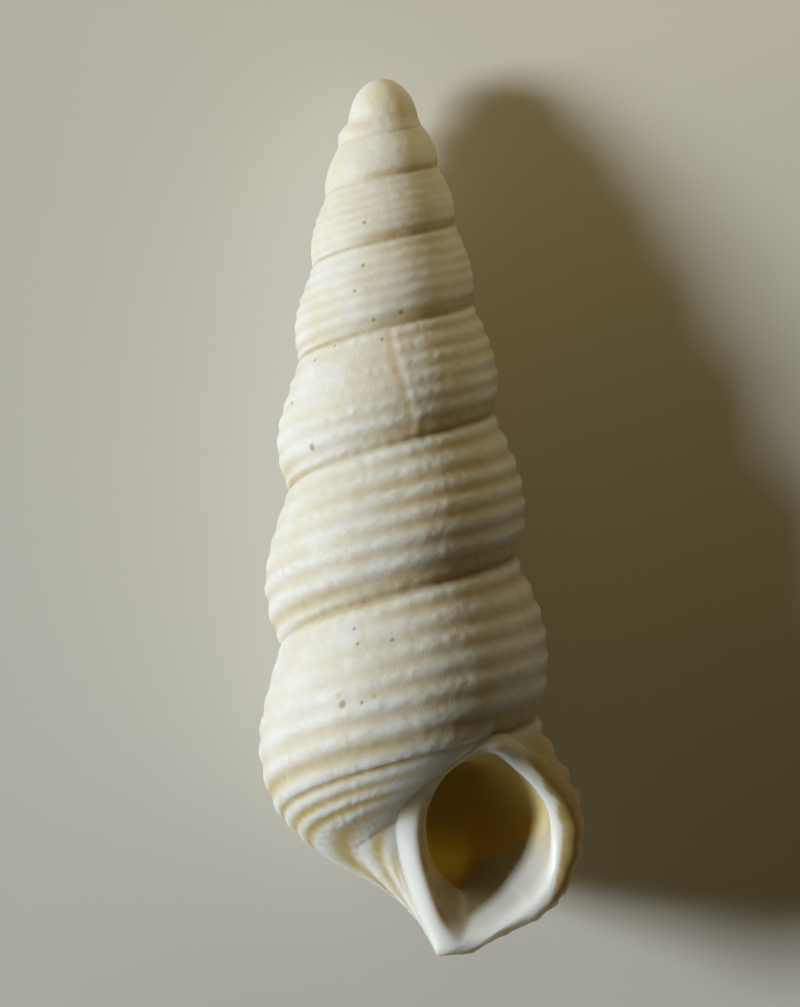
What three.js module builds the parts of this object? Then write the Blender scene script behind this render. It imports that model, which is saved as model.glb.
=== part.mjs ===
// A tiny turret snail shell, right-handed, lying on its back with the mouth up.
//
// Millimetres, +Z up, +Y towards the tip of the spire, +X towards the outer lip. The origin is the
// middle of the bounding box's base. The shell is first worked out upright, in its own frame: x to
// the lip's side, y up the axis with the tip at 0, z towards the viewer who faces the mouth. A turn
// counts once round the axis, from the lip's side to the front, and whole turns lie on the x axis.
import * as THREE from "three";

// The suture, which is the seam where each whorl meets the one before, at whole turns from -1 on:
// its distance below the tip, and its distance from the axis. The last two values lie past the
// mouth: they are where the seam would run on, and they shape the base.
const FIRST_STATION = -1;
const SUTURE_DOWN = [0, 0.14, 0.38, 0.71, 1.18, 1.82, 2.69, 3.83, 5.12, 6.47, 7.87];
const SUTURE_RADIUS = [0, 0.22, 0.31, 0.415, 0.535, 0.66, 0.785, 0.91, 1.01, 1.07, 1.12];

// The shell's ends, in turns, and how many columns of vertices one turn has.
const FIRST_TURN = -2;
const COLUMNS_PER_TURN = 36;
const LAST_COLUMN = 329;

// How far a whorl swells out from the line between its sutures, as a share of that line.
const SWELL_AT_TIP = 0.22;
const SWELL_ON_SPIRE = 0.09;
const SWELL_ON_BODY = 0.128;
const WIDEST_POINT = 0.58;
const SWELL_ROUNDNESS = 0.8;

// Spiral cords: ridges on each whorl's side and on the base, and how high they stand.
const CORDS_ON_SIDE = 7;
const CORDS_ON_BASE = 6;
const CORD_RISE = 0.022;
const PILLAR_ROWS = 4;
const CORDS_START = 3.5;

// The base's outline under the body whorl, from the widest part in to the pillar: shares of the
// radius and of the whorl's height, counted from the line where the next seam would run.
const BASE_OUTLINE = [
  [1, 0],
  [0.86, 0.14],
  [0.7, 0.235],
  [0.45, 0.33],
];
// The pointed end of the pillar: x, distance below the tip, z.
const PILLAR_END = new THREE.Vector3(0.15, -7.015, 0.28);

// The outer lip: the turn where its edge stands at the seam and at its widest, how far it flares
// out of the whorl's line, and where along the turns that flare starts.
const LIP_TURN_AT_SEAM = FIRST_TURN + LAST_COLUMN / COLUMNS_PER_TURN;
const LIP_TURN_AT_SIDE = 7.045;
const LIP_TURN_AT_FOOT = 7.08;
const LIP_FLARE = 0.2;
const FLARE_START = 6.86;
// The glaze on the pillar's side spreads round to this turn, and the pillar bows out beside it.
const GLAZE_TURN = 6.295;
const PILLAR_BOW = 0.2;
const BOW_END_TURN = 6.45;

// The mouth's inner edge as the viewer sees it, from its top corner down each side to its foot.
const MOUTH_LIP_SIDE = [
  [0.578, 5.432, 0.736],
  [0.805, 5.546, 0.704],
  [0.966, 5.698, 0.64],
  [1.078, 5.887, 0.576],
  [1.101, 6.088, 0.528],
  [1.082, 6.32, 0.48],
  [1.018, 6.493, 0.448],
  [0.907, 6.632, 0.416],
  [0.775, 6.738, 0.384],
  [0.602, 6.834, 0.352],
  [0.35, 6.9, 0.29],
];
const MOUTH_PILLAR_SIDE = [
  [0.578, 5.432, 0.736],
  [0.445, 5.538, 0.76],
  [0.32, 5.653, 0.736],
  [0.186, 5.79, 0.656],
  [0.106, 5.955, 0.512],
  [0.094, 6.042, 0.448],
  [0.139, 6.437, 0.376],
  [0.186, 6.64, 0.336],
  [0.35, 6.9, 0.29],
];
const LIP_CREST = 0.06;
const GLAZE_CREST = 0.02;

// The hollow behind the mouth: an oval that follows the whorl back, as shares of its size.
const HOLLOW_TURNS = 0.72;
const HOLLOW_STEPS = 16;
const HOLLOW_RADIUS = 0.53;
const HOLLOW_DROP = 0.79;
const HOLLOW_HALF_WIDTH = 0.345;
const HOLLOW_HALF_HEIGHT = 0.39;
const HOLLOW_BLEND_TURNS = 0.16;

// Lying down: how far the axis leans towards the tip, how far the shell is rolled about its axis,
// and how deep the worn flat spots go on which the back rests.
const LEAN_DEG = 6.5;
const ROLL_DEG = 0;
const FLAT_DEPTH = 0.05;

// The value at a turn of a list of values at whole turns, joined by a smooth curve.
function alongTurns(values, turn) {
  const last = values.length - 1;
  const place = THREE.MathUtils.clamp(turn - FIRST_STATION, 0, last);
  const index = Math.min(Math.floor(place), last - 1);
  const before = index > 0 ? values[index - 1] : 2 * values[0] - values[1];
  const after = index + 2 <= last ? values[index + 2] : 2 * values[last] - values[last - 1];
  const t = place - index;
  const start = (values[index + 1] - before) / 2;
  const end = (after - values[index]) / 2;
  const rise = values[index + 1] - values[index];
  return values[index] + t * (start + t * (3 * rise - 2 * start - end + t * (start + end - 2 * rise)));
}

const sutureAt = (turn) =>
  new THREE.Vector2(alongTurns(SUTURE_RADIUS, turn), alongTurns(SUTURE_DOWN, turn));

function swellAt(turn) {
  const tip = THREE.MathUtils.smoothstep(turn, -1.5, 2);
  const body = THREE.MathUtils.smoothstep(turn, 3, 5);
  const spire = THREE.MathUtils.lerp(SWELL_AT_TIP, SWELL_ON_SPIRE, tip);
  return THREE.MathUtils.lerp(spire, SWELL_ON_BODY, body);
}

// The side's swelling from seam (0) to seam (1).
function hump(s) {
  const power = Math.log(0.5) / Math.log(WIDEST_POINT);
  return Math.sin(Math.PI * s ** power) ** SWELL_ROUNDNESS;
}

// A whorl's side in its own half-plane: x is the radius, y the distance below the tip. A point
// stands out from the line between the seams by the swelling and by rise.
function sidePoint(turn, s, rise) {
  const top = sutureAt(turn);
  const foot = sutureAt(turn + 1);
  const line = foot.clone().sub(top);
  const length = line.length();
  const out = new THREE.Vector2(line.y, -line.x).normalize();
  const height = s > 0 && s < 1 ? swellAt(turn) * length * hump(s) + rise : 0;
  return top.lerp(foot, s).addScaledVector(out, height);
}

// The base in the same half-plane, with s from 1 at the side's foot to 2 at the pillar's root.
function basePoint(turn, s, rise) {
  const foot = sutureAt(turn + 1);
  const height = foot.y - sutureAt(turn).y;
  const outline = new THREE.SplineCurve(
    BASE_OUTLINE.map(([radius, drop]) => new THREE.Vector2(foot.x * radius, foot.y + height * drop)),
  );
  const point = outline.getPoint(s - 1);
  const along = outline.getTangent(s - 1);
  return point.addScaledVector(new THREE.Vector2(along.y, -along.x), rise);
}

// How much of the lip's flare a row takes: none at the seam, none under the pillar.
const flareShare = (s) =>
  THREE.MathUtils.smoothstep(s, 0.05, 0.6) * (1 - THREE.MathUtils.smoothstep(s, 1, 1.9));

function swing(point, turn) {
  const angle = 2 * Math.PI * turn;
  return new THREE.Vector3(point.x * Math.cos(angle), -point.y, point.x * Math.sin(angle));
}

// A point of the outer surface in the shell's own frame.
function shellPoint(turn, s, ridge) {
  if (s > 2) return pillarPoint(turn, s - 2);
  const cord = ridge ? CORD_RISE * THREE.MathUtils.smoothstep(turn, CORDS_START, CORDS_START + 0.6) : 0;
  const flare = THREE.MathUtils.smoothstep(turn, FLARE_START, LIP_TURN_AT_SIDE) * flareShare(s);
  const rise = LIP_FLARE * flare + cord * Math.min(1, 2 - s);
  return swing(s < 1 ? sidePoint(turn, s, rise) : basePoint(turn, s, rise), turn);
}

// The pillar below the base, from its root (0) to its pointed end (1).
function pillarPoint(turn, t) {
  const root = swing(basePoint(turn, 2, 0), turn);
  const bow = PILLAR_BOW * (1 - THREE.MathUtils.smoothstep(turn, GLAZE_TURN, BOW_END_TURN));
  const waist = new THREE.Vector3(
    0.08 * root.x + 0.3 * PILLAR_END.x - bow,
    THREE.MathUtils.lerp(root.y, PILLAR_END.y, 0.36),
    0.08 * root.z + 0.3 * PILLAR_END.z,
  );
  const onLip = THREE.MathUtils.smoothstep(turn, FLARE_START, LIP_TURN_AT_FOOT);
  waist.lerp(new THREE.Vector3(root.x, PILLAR_END.y, root.z), onLip);
  return new THREE.QuadraticBezierCurve3(root, waist, PILLAR_END).getPoint(t);
}

// The rows down one column, as values of s with whether a cord's crest runs there.
function rowsOf(count, from, withCords) {
  return Array.from({ length: count }, (_, i) => ({
    s: from + (i + 1) / count,
    ridge: withCords && i % 2 === 0,
  }));
}

function sideRows(turn) {
  if (turn < 0.5) return rowsOf(3, 0, false);
  if (turn < CORDS_START) return rowsOf(6, 0, false);
  return rowsOf(2 * CORDS_ON_SIDE, 0, true);
}

const BASE_ROWS = [...rowsOf(2 * CORDS_ON_BASE, 1, true), ...rowsOf(PILLAR_ROWS, 2, false)];

// The lip's edge isn't straight down: the turn at which it stands on each row.
function lipTurn(s) {
  const side = THREE.MathUtils.smoothstep(s, 0, 0.7);
  const foot = THREE.MathUtils.smoothstep(s, 1.2, 2);
  const upper = THREE.MathUtils.lerp(LIP_TURN_AT_SEAM, LIP_TURN_AT_SIDE, side);
  return THREE.MathUtils.lerp(upper, LIP_TURN_AT_FOOT, foot);
}

// The turn of a column on a row: the last quarter is drawn out or in to end on the lip's edge, and
// the base starts on the glaze's edge.
function columnTurn(column, s) {
  const turn = FIRST_TURN + column / COLUMNS_PER_TURN;
  const lastQuarter = LIP_TURN_AT_SEAM - 0.25;
  if (turn > lastQuarter)
    return THREE.MathUtils.mapLinear(turn, lastQuarter, LIP_TURN_AT_SEAM, lastQuarter, lipTurn(s));
  const baseStart = LIP_TURN_AT_SEAM - 1;
  if (s > 1 && turn < baseStart + 0.25) {
    const glaze = THREE.MathUtils.lerp(baseStart, GLAZE_TURN, THREE.MathUtils.smoothstep(s, 1, 1.5));
    return THREE.MathUtils.mapLinear(turn, baseStart, baseStart + 0.25, glaze, baseStart + 0.25);
  }
  return turn;
}

// A closed surface that is put together from chains of numbered vertices.
class Skin {
  constructor() {
    this.vertices = [];
    this.triangles = [];
  }

  add(point) {
    this.vertices.push(point);
    return this.vertices.length - 1;
  }

  face(a, b, c) {
    if (a !== b && b !== c && c !== a) this.triangles.push(a, c, b);
  }

  // Fills the strip between two chains of places [vertex, place along the chain].
  strip(left, right) {
    let i = 0;
    let j = 0;
    while (i < left.length - 1 || j < right.length - 1) {
      const stepLeft =
        j === right.length - 1 || (i < left.length - 1 && left[i + 1][1] <= right[j + 1][1] + 1e-9);
      if (stepLeft) {
        this.face(left[i][0], left[i + 1][0], right[j][0]);
        i += 1;
      } else {
        this.face(left[i][0], right[j + 1][0], right[j][0]);
        j += 1;
      }
    }
  }

  // Fills the band between two rings with the same number of vertices.
  band(outer, inner) {
    outer.forEach((vertex, k) => {
      const next = (k + 1) % outer.length;
      this.face(vertex, outer[next], inner[k]);
      this.face(outer[next], inner[next], inner[k]);
    });
  }

  fan(ring, centre) {
    ring.forEach((vertex, k) => this.face(vertex, ring[(k + 1) % ring.length], centre));
  }

  geometry() {
    const positions = this.vertices.flatMap((point) => point.toArray());
    return new THREE.BufferGeometry()
      .setAttribute("position", new THREE.Float32BufferAttribute(positions, 3))
      .setIndex(this.triangles);
  }
}

// The outer surface. Each side's foot is the seam of the next turn, so the two share vertices.
// Returns the open edge: the lip's side and the pillar's side, both from the top corner down.
function addOutside(skin) {
  const tip = skin.add(new THREE.Vector3());
  const seam = [];
  for (let column = 0; column <= LAST_COLUMN; column += 1) {
    const turn = FIRST_TURN + column / COLUMNS_PER_TURN;
    seam.push(column <= COLUMNS_PER_TURN ? tip : skin.add(swing(sutureAt(turn), turn)));
  }
  const pillarEnd = skin.add(PILLAR_END);
  const firstBase = LAST_COLUMN - COLUMNS_PER_TURN;
  const sides = [];
  const bases = [];
  for (let column = 0; column <= LAST_COLUMN; column += 1) {
    const nextSeam = seam[column + COLUMNS_PER_TURN];
    const side = [[seam[column], 0]];
    for (const { s, ridge } of sideRows(FIRST_TURN + column / COLUMNS_PER_TURN)) {
      const turn = columnTurn(column, s);
      if (column === 0) side.push([tip, s]);
      else if (s === 1 && nextSeam !== undefined) side.push([nextSeam, s]);
      else side.push([skin.add(shellPoint(turn, s, ridge)), s]);
    }
    sides.push(side);
    if (column < firstBase) continue;
    const base = [side.at(-1)];
    for (const { s, ridge } of BASE_ROWS)
      base.push([s === 3 ? pillarEnd : skin.add(shellPoint(columnTurn(column, s), s, ridge)), s]);
    bases.push(base);
  }
  sides.slice(1).forEach((side, k) => skin.strip(sides[k], side));
  bases.slice(1).forEach((base, k) => skin.strip(bases[k], base));
  const vertexOf = ([vertex]) => vertex;
  return {
    lipSide: [...sides.at(-1), ...bases.at(-1).slice(1)].map(vertexOf),
    pillarSide: bases[0].map(vertexOf),
  };
}

// Where the vertices of a chain stand along it, from 0 to 1.
function placesAlong(skin, chain) {
  const places = [0];
  for (let k = 1; k < chain.length; k += 1) {
    const step = skin.vertices[chain[k]].distanceTo(skin.vertices[chain[k - 1]]);
    places.push(places[k - 1] + step);
  }
  return places.map((place) => place / places.at(-1));
}

const mouthCurve = (points) =>
  new THREE.CatmullRomCurve3(points.map(([x, down, z]) => new THREE.Vector3(x, -down, z)));

// The oval hollow of a whorl: turnsIn counts back from the mouth, angle goes round the oval.
function hollowPoint(turnsIn, angle) {
  const turn = 7 - turnsIn;
  const top = sutureAt(turn);
  const height = sutureAt(turn + 1).y - top.y;
  const widest = sidePoint(turn, WIDEST_POINT, 0).x;
  const closing = Math.sqrt(Math.max(0, 1 - (turnsIn / HOLLOW_TURNS) ** 4));
  const radius = widest * (HOLLOW_RADIUS + HOLLOW_HALF_WIDTH * closing * Math.cos(angle));
  const down = top.y + height * (HOLLOW_DROP - HOLLOW_HALF_HEIGHT * closing * Math.sin(angle));
  return swing(new THREE.Vector2(radius, down), turn);
}

// The rounded lip, the glaze on the pillar and the hollow behind the mouth.
function addMouth(skin, { lipSide, pillarSide }) {
  const edge = [...lipSide, ...pillarSide.slice(1, -1).reverse()];
  const lipPlaces = placesAlong(skin, lipSide);
  const pillarPlaces = placesAlong(skin, pillarSide).slice(1, -1).reverse();
  const lipCurve = mouthCurve(MOUTH_LIP_SIDE);
  const pillarCurve = mouthCurve(MOUTH_PILLAR_SIDE);
  const margin = [
    ...lipPlaces.map((place) => lipCurve.getPointAt(place)),
    ...pillarPlaces.map((place) => pillarCurve.getPointAt(place)),
  ];
  const topAngle = THREE.MathUtils.degToRad(70);
  const footAngle = THREE.MathUtils.degToRad(-110);
  const angles = [
    ...lipPlaces.map((place) => THREE.MathUtils.lerp(topAngle, footAngle, place)),
    ...pillarPlaces.map((place) => THREE.MathUtils.lerp(topAngle, footAngle + 2 * Math.PI, place)),
  ];
  const crest = margin.map((point, k) => {
    const onLip = k < lipPlaces.length;
    const place = onLip ? lipPlaces[k] : pillarPlaces[k - lipPlaces.length];
    const lift = (onLip ? LIP_CREST : GLAZE_CREST) * Math.sin(Math.PI * place) ** 0.5;
    const middle = point.clone().lerp(skin.vertices[edge[k]], 0.35);
    return skin.add(middle.add(new THREE.Vector3(0, 0, lift)));
  });
  let ring = margin.map((point) => skin.add(point));
  skin.band(edge, crest);
  skin.band(crest, ring);
  for (let step = 1; step <= HOLLOW_STEPS; step += 1) {
    const turnsIn = (HOLLOW_TURNS * step) / (HOLLOW_STEPS + 0.5);
    const blend = THREE.MathUtils.smoothstep(turnsIn, 0, HOLLOW_BLEND_TURNS);
    const inner = angles.map((angle, k) =>
      skin.add(margin[k].clone().lerp(hollowPoint(turnsIn, angle), blend)),
    );
    skin.band(ring, inner);
    ring = inner;
  }
  skin.fan(ring, skin.add(hollowPoint(HOLLOW_TURNS, 0)));
}

// Lays the shell on its back, wears the flat spots and moves the origin to the base's middle.
function layDown(geometry) {
  geometry.rotateY(THREE.MathUtils.degToRad(ROLL_DEG));
  geometry.rotateX(THREE.MathUtils.degToRad(-LEAN_DEG));
  geometry.computeBoundingBox();
  const floor = geometry.boundingBox.min.z + FLAT_DEPTH;
  const position = geometry.getAttribute("position");
  for (let k = 0; k < position.count; k += 1)
    if (position.getZ(k) < floor) position.setZ(k, floor);
  geometry.computeBoundingBox();
  const { min, max } = geometry.boundingBox;
  geometry.translate(-(min.x + max.x) / 2, -(min.y + max.y) / 2, -floor);
  geometry.computeVertexNormals();
  return geometry;
}

function makeShell() {
  const skin = new Skin();
  addMouth(skin, addOutside(skin));
  const chalk = new THREE.MeshStandardMaterial({ color: 0xd9d2c0, roughness: 0.55, metalness: 0 });
  const mesh = new THREE.Mesh(layDown(skin.geometry()), chalk);
  mesh.name = "shell";
  return mesh;
}

const snailShell = new THREE.Group();
snailShell.add(makeShell());

export default snailShell;
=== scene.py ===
"""Dresses a turret snail shell: one grown piece that lies on its back with its mouth up.

The shell is worked out upright first, in millimetres: x towards the outer lip's side, y up the axis
with the tip at 0, z towards the viewer who faces the mouth. A turn counts once round the axis, from
the lip's side to the front. A row runs from a whorl's upper seam (0) to its lower one (1), over the
base (2) to the pillar's end (3). The finished mesh is then laid down in the frame, in metres.
"""

import logging
import math
from collections.abc import Sequence
from dataclasses import dataclass, field
from enum import Enum
from functools import cache

import bmesh
import bpy
from bmesh.types import BMEdge, BMesh, BMLayerItem, BMVert
from bpy.types import Material, Node, NodeSocket, Object
from mathutils import Matrix, Vector, noise


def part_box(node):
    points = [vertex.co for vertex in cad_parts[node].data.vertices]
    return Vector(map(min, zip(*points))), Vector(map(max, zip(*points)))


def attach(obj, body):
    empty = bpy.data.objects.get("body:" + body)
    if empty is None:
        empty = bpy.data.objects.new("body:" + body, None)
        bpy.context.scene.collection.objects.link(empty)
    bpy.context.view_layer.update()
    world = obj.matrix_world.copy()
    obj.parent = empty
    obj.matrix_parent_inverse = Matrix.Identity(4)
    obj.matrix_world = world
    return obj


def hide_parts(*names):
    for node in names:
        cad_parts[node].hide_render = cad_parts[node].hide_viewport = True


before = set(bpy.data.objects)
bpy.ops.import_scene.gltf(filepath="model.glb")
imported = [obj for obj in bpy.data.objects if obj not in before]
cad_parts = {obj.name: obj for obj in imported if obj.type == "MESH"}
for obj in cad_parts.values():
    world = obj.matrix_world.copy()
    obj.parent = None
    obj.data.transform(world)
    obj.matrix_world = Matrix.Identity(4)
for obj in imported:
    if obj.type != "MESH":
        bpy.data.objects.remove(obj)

log = logging.getLogger("shell")
MM = 0.001
NODE = "shell"

Pair = tuple[float, float]
Triple = tuple[float, float, float]
Chain = tuple[Triple, ...]


def smoothstep(low: float, high: float, value: float) -> float:
    """Rises smoothly from 0 at low to 1 at high."""
    t = min(max((value - low) / (high - low), 0.0), 1.0)
    return t * t * (3.0 - 2.0 * t)


def fade(low: float, high: float, value: float) -> float:
    """Falls smoothly from 1 at low to 0 at high."""
    return 1.0 - smoothstep(low, high, value)


def bell(value: float, width: float) -> float:
    """A smooth hump: 1 at 0, and about a third at the width."""
    return math.exp(-((value / width) ** 2))


def grained(grain: Triple, turn: float, row: float) -> float:
    """Smooth noise about 0: the grain is its changes in a turn and in a row, and its layer."""
    return noise.noise(Vector((turn * grain[0], row * grain[1], grain[2])))


def lerp(a: float, b: float, t: float) -> float:
    """The value at the share t of the way from a to b."""
    return a + (b - a) * t


def hermite(before: float, here: float, there: float, after: float, t: float) -> float:
    """A smooth curve through four evenly spaced values, read between the middle two.

    Args:
        before: The value one step back.
        here: The value at t = 0.
        there: The value at t = 1.
        after: The value one step on.
        t: The place between here and there.

    Returns:
        The curve's value.
    """
    start = (there - before) / 2.0
    end = (after - here) / 2.0
    rise = there - here
    return here + t * (start + t * (3.0 * rise - 2.0 * start - end + t * (start + end - 2.0 * rise)))


def spline(points: Sequence[Vector], t: float) -> Vector:
    """A smooth curve through points.

    Args:
        points: The points that it passes.
        t: The place along it, from 0 to 1, with the points evenly spaced.

    Returns:
        The curve's point.
    """
    last = len(points) - 1
    place = min(max(t, 0.0), 1.0) * last
    index = min(int(place), last - 1)
    four = [points[min(max(index + step, 0), last)] for step in (-1, 0, 1, 2)]
    return Vector([hermite(*values, place - index) for values in zip(*four)])


def shares_along(points: Sequence[Vector]) -> list[float]:
    """Where points stand along the chain that they make, from 0 to 1."""
    places = [0.0]
    for before, after in zip(points, points[1:]):
        places.append(places[-1] + (after - before).length)
    return [place / places[-1] for place in places]


@cache
def walk(chain: Chain, steps: int = 200) -> tuple[list[Vector], list[float]]:
    """Walks the smooth curve through a chain of points.

    Args:
        chain: The points, each as a distance sideways, down and forwards.
        steps: How many small steps the walk takes.

    Returns:
        The points of the walk, and where each stands along it, from 0 to 1.
    """
    points = [Vector((x, -down, z)) for x, down, z in chain]
    path = [spline(points, step / steps) for step in range(steps + 1)]
    return path, shares_along(path)


def point_along(chain: Chain, place: float) -> Vector:
    """The point at a share of the length of the smooth curve through a chain of points."""
    path, shares = walk(chain)
    last = len(path) - 2
    index = next((k for k in range(last) if shares[k + 1] >= place), last)
    share = (place - shares[index]) / (shares[index + 1] - shares[index])
    return path[index].lerp(path[index + 1], min(max(share, 0.0), 1.0))


def swing(radius: float, down: float, turn: float) -> Vector:
    """Turns a point of the shell's section round the axis.

    Args:
        radius: The distance from the axis.
        down: The distance below the tip.
        turn: How far round, in turns.

    Returns:
        The point in the upright shell's frame.
    """
    angle = 2.0 * math.pi * turn
    return Vector((radius * math.cos(angle), -down, radius * math.sin(angle)))


@dataclass(frozen=True)
class Growth:
    """The spiral that the shell grows on: its seam, its whorls, its base and its pillar."""

    first_turn: float = -2.0
    last_turn: float = -2.0 + 329.0 / 36.0
    first_station: int = -1
    seam_down: tuple[float, ...] = (0.0, 0.14, 0.38, 0.71, 1.18, 1.82, 2.69, 3.83, 5.12, 6.47, 7.87)
    seam_radius: tuple[float, ...] = (0.0, 0.22, 0.31, 0.415, 0.535, 0.66, 0.785, 0.91, 1.01, 1.07, 1.12)
    swell_at_tip: float = 0.1
    swell_on_spire: float = 0.09
    swell_on_body: float = 0.128
    spire_turns: Pair = (-1.5, 2.0)
    body_turns: Pair = (3.0, 5.0)
    widest_row: float = 0.58
    roundness: float = 0.8
    base_outline: tuple[Pair, ...] = ((1.0, 0.0), (0.86, 0.14), (0.7, 0.235), (0.45, 0.33))
    pillar_end: Triple = (0.15, -7.015, 0.28)
    lip_turn_at_side: float = 7.03
    lip_turn_below: float = 7.01
    lip_turn_at_foot: float = 7.05
    lip_bow: float = 0.5
    lip_rows_below: Pair = (0.6, 1.0)
    lip_rows_at_foot: Pair = (1.3, 2.0)
    lip_flare: float = 0.14
    flare_in_rows: Pair = (0.05, 0.6)
    flare_out_rows: Pair = (1.0, 1.9)
    flare_start: float = 6.86
    glaze_turn: float = 6.295
    glaze_bow: float = 0.75
    drawn_turns: float = 0.25
    pillar_bow: float = 0.2
    waist_of_root: float = 0.08
    waist_of_end: float = 0.3
    waist_down: float = 0.36
    dome_half_width: float = 0.28
    dome_height: float = 0.38
    dome_fade: Pair = (0.3, 0.44)
    bend: float = 0.028
    bend_down: float = 2.4
    bow_end_turn: float = 6.45

    def along(self, values: Sequence[float], turn: float) -> float:
        """The value at a turn of a list of values at whole turns.

        Args:
            values: One value for each whole turn, from the first station on.
            turn: The turn to read it at.

        Returns:
            The value of the smooth curve through the list.
        """
        last = len(values) - 1
        place = min(max(turn - self.first_station, 0.0), float(last))
        index = min(int(place), last - 1)
        before = values[index - 1] if index > 0 else 2.0 * values[0] - values[1]
        after = values[index + 2] if index + 2 <= last else 2.0 * values[last] - values[last - 1]
        return hermite(before, values[index], values[index + 1], after, place - index)

    def seam(self, turn: float) -> Vector:
        """The seam's distance from the axis and below the tip, as a 2-D vector."""
        return Vector((self.along(self.seam_radius, turn), self.along(self.seam_down, turn)))

    def swell(self, turn: float) -> float:
        """How far a whorl swells, as a share of the line between its seams."""
        spire = lerp(self.swell_at_tip, self.swell_on_spire, smoothstep(*self.spire_turns, turn))
        return lerp(spire, self.swell_on_body, smoothstep(*self.body_turns, turn))

    def flare(self, turn: float, row: float) -> float:
        """How far the outer lip stands out of the whorl's line at a turn and row."""
        near = smoothstep(self.flare_start, self.lip_turn_at_side, turn)
        share = smoothstep(*self.flare_in_rows, row) * fade(*self.flare_out_rows, row)
        return self.lip_flare * near * share

    def side(self, turn: float, row: float) -> Vector:
        """The section of a whorl's side.

        Args:
            turn: The turn of the section.
            row: The place between the seams, from 0 to 1.

        Returns:
            The distance from the axis and below the tip.
        """
        top = self.seam(turn)
        foot = self.seam(turn + 1.0)
        line = foot - top
        out = Vector((line.y, -line.x)).normalized()
        power = math.log(0.5) / math.log(self.widest_row)
        inside = 0.0 < row < 1.0
        hump = math.sin(math.pi * row**power) ** self.roundness if inside else 0.0
        height = self.swell(turn) * line.length * hump + (self.flare(turn, row) if inside else 0.0)
        return top.lerp(foot, row) + out * height

    def base(self, turn: float, row: float) -> Vector:
        """The section of the base, from the side's foot (row 1) to the pillar's root (row 2)."""
        foot = self.seam(turn + 1.0)
        height = foot.y - self.seam(turn).y
        outline = [Vector((foot.x * r, foot.y + height * d)) for r, d in self.base_outline]
        point = spline(outline, row - 1.0)
        step = 0.01
        along = spline(outline, row - 1.0 + step) - spline(outline, row - 1.0 - step)
        out = Vector((along.y, -along.x)).normalized()
        return point + out * self.flare(turn, row)

    def pillar(self, turn: float, share: float) -> Vector:
        """The pillar's surface from its root (share 0) to its pointed end (share 1)."""
        end = Vector(self.pillar_end)
        root = swing(*self.base(turn, 2.0), turn)
        bow = self.pillar_bow * fade(self.glaze_turn, self.bow_end_turn, turn)
        waist = Vector((
            self.waist_of_root * root.x + self.waist_of_end * end.x - bow,
            lerp(root.y, end.y, self.waist_down),
            self.waist_of_root * root.z + self.waist_of_end * end.z,
        ))
        on_lip = smoothstep(self.flare_start, self.lip_turn_at_foot, turn)
        waist = waist.lerp(Vector((root.x, end.y, root.z)), on_lip)
        return root.lerp(waist, share).lerp(waist.lerp(end, share), share)

    def surface(self, turn: float, row: float) -> Vector:
        """The smooth outer surface, without its cords.

        Args:
            turn: The turn, counted from the lip's side.
            row: The row, from 0 to 3.

        Returns:
            The point in the upright shell's frame.
        """
        if row > 2.0:
            return self.pillar(turn, row - 2.0)
        section = self.side(turn, row) if row < 1.0 else self.base(turn, row)
        point = swing(*self.domed(section), turn)
        point.x += self.bend * fade(0.0, self.bend_down, section.y)
        return point

    def domed(self, section: Vector) -> Vector:
        """Rounds the first turns off into one smooth bulb.

        Args:
            section: The distance from the axis and below the tip.

        Returns:
            The same on the bulb, near the tip, and unchanged elsewhere.
        """
        share = fade(*self.dome_fade, section.y)
        arm = Vector((section.x / self.dome_half_width, section.y / self.dome_height - 1.0))
        if share <= 0.0 or arm.length < 1.0e-6:
            return section
        arm.normalize()
        bulb = Vector((arm.x * self.dome_half_width, (arm.y + 1.0) * self.dome_height))
        return section.lerp(bulb, share)

    def lip_turn(self, row: float) -> float:
        """The turn at which the lip's edge stands on a row."""
        upper = lerp(self.last_turn, self.lip_turn_at_side, min(2.0 * row, 1.0) ** self.lip_bow)
        lower = lerp(upper, self.lip_turn_below, smoothstep(*self.lip_rows_below, row))
        return lerp(lower, self.lip_turn_at_foot, smoothstep(*self.lip_rows_at_foot, row))

    def glaze_edge(self, row: float) -> float:
        """The turn where the base comes out from under the glaze on a row."""
        share = min(max(row - 1.0, 0.0), 1.0) ** self.glaze_bow
        return lerp(self.last_turn - 1.0, self.glaze_turn, share)

    def true_turn(self, turn: float, row: float) -> float:
        """Draws a straight column out to the lip's edge, or in to the edge of the glaze.

        Args:
            turn: The column's turn on the flat sheet.
            row: The row.

        Returns:
            The turn at which that column stands on that row.
        """
        drawn = self.drawn_turns
        near_lip = self.last_turn - drawn
        if turn > near_lip:
            return lerp(near_lip, self.lip_turn(row), (turn - near_lip) / drawn)
        start = self.last_turn - 1.0
        if row > 1.0 and turn < start + drawn:
            return lerp(self.glaze_edge(row), start + drawn, (turn - start) / drawn)
        return turn


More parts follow.
